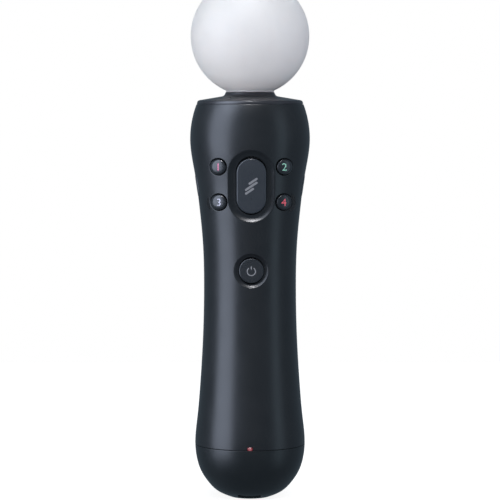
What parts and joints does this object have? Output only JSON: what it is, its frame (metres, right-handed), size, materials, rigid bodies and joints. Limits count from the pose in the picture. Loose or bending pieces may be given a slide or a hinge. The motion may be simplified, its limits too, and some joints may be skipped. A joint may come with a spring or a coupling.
{
  "type": "motion controller wand",
  "caption": "Handheld motion controller wand: round dark grip with a white light ball, front keys, side keys, a rear trigger and a rounded end cap.",
  "frame": {"origin": "centre of the flat foot under the end cap, on the axis of the grip", "axes": "+Z along the grip towards the light ball, -Y the way the front keys face, +X to the right as seen from the front"},
  "size_m": [0.046, 0.0476, 0.2],
  "materials": {
    "shell_plastic": "satin moulded",
    "trigger_plastic": "satin moulded",
    "collar_plastic": "semi gloss",
    "key_plastic": "semi gloss",
    "black_plastic": "matt moulded",
    "ball_rubber": "soft matt, lets light through",
    "silicone": "matt",
    "clear_plastic": "clear",
    "red_lens": "clear tinted",
    "circuit_board": "solder mask",
    "cell_wrap": "film wrap",
    "screw_steel": "plated",
    "spring_steel": "drawn wire",
    "weight_metal": "sintered",
    "contact_brass": "plated"
  },
  "bodies": {
    "housing": {"front_shell": "shell_plastic", "rear_shell": "shell_plastic", "end_cap": "shell_plastic", "neck_collar": "collar_plastic", "light_ball": "ball_rubber", "ball_retaining_ring": "spring_steel", "light_guide": "clear_plastic", "light_board": "circuit_board", "light_board_screws": "screw_steel", "light_emitter": "clear_plastic", "key_mat": "silicone", "home_pad": "silicone", "side_domes": "silicone", "side_switches": "black_plastic", "main_board": "circuit_board", "board_screws": "screw_steel", "status_lens": "red_lens", "status_led": "clear_plastic", "shell_screws": "screw_steel", "battery": "cell_wrap", "battery_cradle": "black_plastic", "battery_plug": "black_plastic", "rumble_motor": "screw_steel", "motor_saddle": "black_plastic", "trigger_pin": "screw_steel", "trigger_bracket": "black_plastic", "trigger_spring": "spring_steel", "trigger_sensor": "black_plastic", "port_board": "circuit_board", "port_board_screws": "screw_steel", "usb_socket": "screw_steel", "extension_socket": "screw_steel", "charge_contacts": "contact_brass", "strap_anchor": "screw_steel", "processor_chip": "black_plastic", "motion_sensor": "black_plastic", "radio_module": "screw_steel", "charge_chip": "black_plastic"},
    "move_key": {"move_button": "key_plastic"},
    "home_key": {"home_button": "key_plastic"},
    "upper_left_key": {"button_upper_left": "key_plastic"},
    "upper_right_key": {"button_upper_right": "key_plastic"},
    "lower_left_key": {"button_lower_left": "key_plastic"},
    "lower_right_key": {"button_lower_right": "key_plastic"},
    "select_key": {"select_button": "key_plastic"},
    "start_key": {"start_button": "key_plastic"},
    "trigger_lever": {"trigger": "trigger_plastic"},
    "rumble_rotor": {"motor_shaft": "screw_steel", "rumble_weight": "weight_metal"}
  },
  "joints": [
    {"name": "move_press", "type": "slide", "parent": "housing", "child": "move_key", "axis": [0, 1, 0], "range_m": [0, 0.001], "stiffness_N_per_m": 900, "springref_m": -0.0002, "deforming": ["key_mat"]},
    {"name": "home_press", "type": "slide", "parent": "housing", "child": "home_key", "axis": [0, 1, 0], "range_m": [0, 0.0005], "stiffness_N_per_m": 900, "springref_m": -0.0002, "deforming": ["home_pad"]},
    {"name": "upper_left_press", "type": "slide", "parent": "housing", "child": "upper_left_key", "axis": [0, 1, 0], "range_m": [0, 0.0008], "stiffness_N_per_m": 900, "springref_m": -0.0002, "deforming": ["key_mat"]},
    {"name": "upper_right_press", "type": "slide", "parent": "housing", "child": "upper_right_key", "axis": [0, 1, 0], "range_m": [0, 0.0008], "stiffness_N_per_m": 900, "springref_m": -0.0002, "deforming": ["key_mat"]},
    {"name": "lower_left_press", "type": "slide", "parent": "housing", "child": "lower_left_key", "axis": [0, 1, 0], "range_m": [0, 0.0008], "stiffness_N_per_m": 900, "springref_m": -0.0002, "deforming": ["key_mat"]},
    {"name": "lower_right_press", "type": "slide", "parent": "housing", "child": "lower_right_key", "axis": [0, 1, 0], "range_m": [0, 0.0008], "stiffness_N_per_m": 900, "springref_m": -0.0002, "deforming": ["key_mat"]},
    {"name": "select_press", "type": "slide", "parent": "housing", "child": "select_key", "axis": [1, 0, 0], "range_m": [0, 0.0005], "stiffness_N_per_m": 900, "springref_m": -0.0002, "deforming": ["side_domes"]},
    {"name": "start_press", "type": "slide", "parent": "housing", "child": "start_key", "axis": [-1, 0, 0], "range_m": [0, 0.0005], "stiffness_N_per_m": 900, "springref_m": -0.0002, "deforming": ["side_domes"]},
    {"name": "trigger_pull", "type": "hinge", "parent": "housing", "child": "trigger_lever", "pos_m": [0, 0.0134, 0.1376], "axis": [-1, 0, 0], "range_deg": [0, 11], "stiffness_Nm_per_rad": 0.2, "springref_deg": -6.88, "deforming": ["trigger_spring"]},
    {"name": "rumble_spin", "type": "hinge", "parent": "housing", "child": "rumble_rotor", "pos_m": [0, 0.003, 0.048], "axis": [0, 0, 1], "continuous": true}
  ]
}
